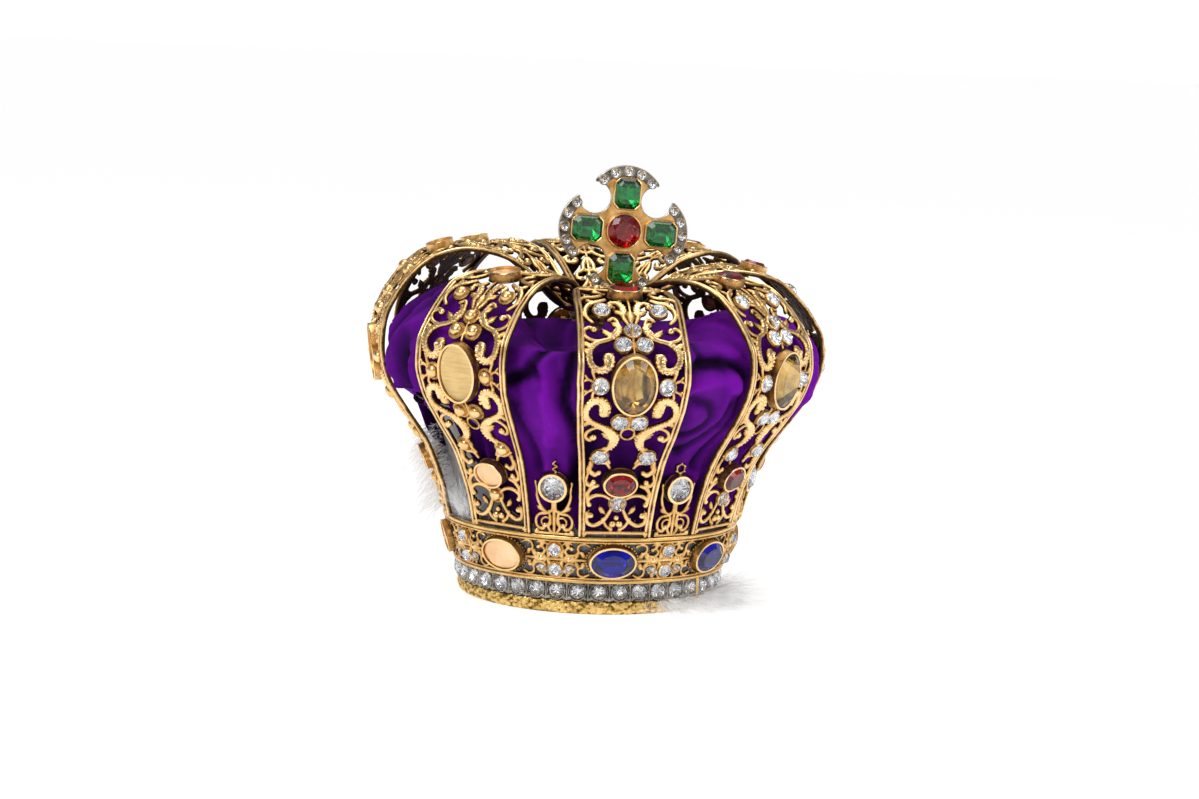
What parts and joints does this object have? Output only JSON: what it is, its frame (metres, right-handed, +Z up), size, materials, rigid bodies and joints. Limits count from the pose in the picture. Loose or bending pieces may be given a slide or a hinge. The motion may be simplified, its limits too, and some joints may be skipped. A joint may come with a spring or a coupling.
{
  "type": "crown",
  "caption": "Closed crown with a pierced jewelled circlet, bulging half-arches, a velvet cap, fur lining and a cross that turns on its stem.",
  "frame": {"origin": "centre of the base, on the surface the crown stands on", "axes": "+Z up along the crown's axis, -Y towards the first jewelled arch, which is the front"},
  "size_m": [0.3255, 0.3268, 0.2989],
  "materials": {
    "braid": "woven metal-thread braid, rough",
    "leather": "plain brown hide",
    "fur": "long white hair",
    "silvered_metal": "tarnished silvered brass",
    "clear_stones": "faceted clear paste, foil backed",
    "gilt_brass": "worn gilding with brown tarnish in the recesses",
    "gold_plates": "brushed gilt",
    "blue_stones": "faceted royal blue paste",
    "citrine_stones": "faceted smoky yellow paste",
    "red_stones": "faceted crimson paste",
    "green_stones": "step-cut emerald green paste",
    "velvet": "deep purple silk velvet",
    "lining": "grey cotton lining",
    "dark_brass": "unpolished brown brass"
  },
  "bodies": {
    "crown": {"base_braid": "braid", "head_band": "leather", "fur_lining": "fur", "stone_row_strip": "silvered_metal", "row_stones": "clear_stones", "circlet_small_stones": "clear_stones", "arch_small_stones": "clear_stones", "fleuron_stones": "clear_stones", "strip_clip": "gilt_brass", "lower_rim_wire": "gilt_brass", "upper_rim_wire": "gilt_brass", "circlet_band": "gilt_brass", "circlet_bezels": "gilt_brass", "circlet_small_collets": "gilt_brass", "arch_frame_1": "gilt_brass", "arch_frame_2": "gilt_brass", "arch_frame_3": "gilt_brass", "arch_frame_4": "gilt_brass", "arch_frame_5": "gilt_brass", "arch_frame_6": "gilt_brass", "arch_frame_7": "gilt_brass", "arch_frame_8": "gilt_brass", "arch_filigree_1": "gilt_brass", "arch_filigree_2": "gilt_brass", "arch_filigree_3": "gilt_brass", "arch_filigree_4": "gilt_brass", "arch_filigree_5": "gilt_brass", "arch_filigree_6": "gilt_brass", "arch_filigree_7": "gilt_brass", "arch_filigree_8": "gilt_brass", "large_bezels": "gilt_brass", "lower_red_bezels": "gilt_brass", "top_red_bezels": "gilt_brass", "arch_small_collets": "gilt_brass", "arch_gold_beads": "gilt_brass", "fleuron_scrolls": "gilt_brass", "fleuron_collets": "gilt_brass", "arch_foot_rivets": "gilt_brass", "hub_plate": "gilt_brass", "circlet_gold_plates": "gold_plates", "large_gold_plates": "gold_plates", "lower_gold_plates": "gold_plates", "top_gold_plates": "gold_plates", "circlet_blue_stones": "blue_stones", "citrine_stones": "citrine_stones", "lower_red_stones": "red_stones", "top_red_stones": "red_stones", "velvet_cap": "velvet", "cap_lining": "lining", "hub_ring": "dark_brass", "hub_screws": "dark_brass", "hub_nuts": "dark_brass"},
    "cross": {"cross_stem": "gilt_brass", "cross_nut": "dark_brass", "cross_plate": "silvered_metal", "cross_bezels": "gilt_brass", "cross_ruby": "red_stones", "cross_emeralds": "green_stones", "cross_small_stones": "clear_stones"}
  },
  "joints": [
    {"name": "cross_swivel", "type": "hinge", "parent": "crown", "child": "cross", "pos_m": [0, 0, 0.2], "axis": [0, 0, 1], "continuous": true}
  ]
}
